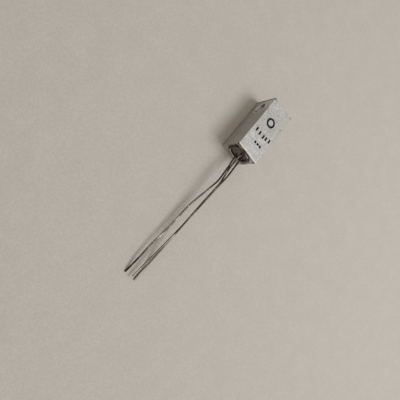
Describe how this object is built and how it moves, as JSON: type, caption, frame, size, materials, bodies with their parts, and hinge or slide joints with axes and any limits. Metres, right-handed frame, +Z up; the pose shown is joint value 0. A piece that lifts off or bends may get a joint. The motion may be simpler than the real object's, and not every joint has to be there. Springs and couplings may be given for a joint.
{
  "type": "germanium transistor",
  "caption": "Round metal-can germanium transistor with wire leads, held in a square aluminium cooling block with a cross screw hole.",
  "frame": {"origin": "middle of the cooling block's resting face", "axes": "+Z up from the surface, +X along the block towards its closed end with the leads leaving towards -X, +Y along the screw hole"},
  "size_m": [0.0568, 0.0074, 0.0073],
  "materials": {
    "block": "matt etched, lightly handled",
    "can": "drawn, dulled",
    "header_metal": "tin plated, dulled",
    "seal_glass": "dark sealing glass",
    "lead_wire": "tinned wire, tarnished",
    "nickel": "bare nickel",
    "solder": "satin solder",
    "germanium": "etched semiconductor",
    "indium": "soft bright metal"
  },
  "bodies": {
    "root": {"cooling_block": "block", "can": "can", "header_ring": "header_metal", "glass_seal": "seal_glass", "emitter_lead": "lead_wire", "base_lead": "lead_wire", "collector_lead": "lead_wire", "base_tab": "nickel", "base_solder": "solder", "germanium_pellet": "germanium", "emitter_bead": "indium", "collector_bead": "indium", "emitter_wire": "nickel", "collector_wire": "nickel"}
  },
  "joints": []
}
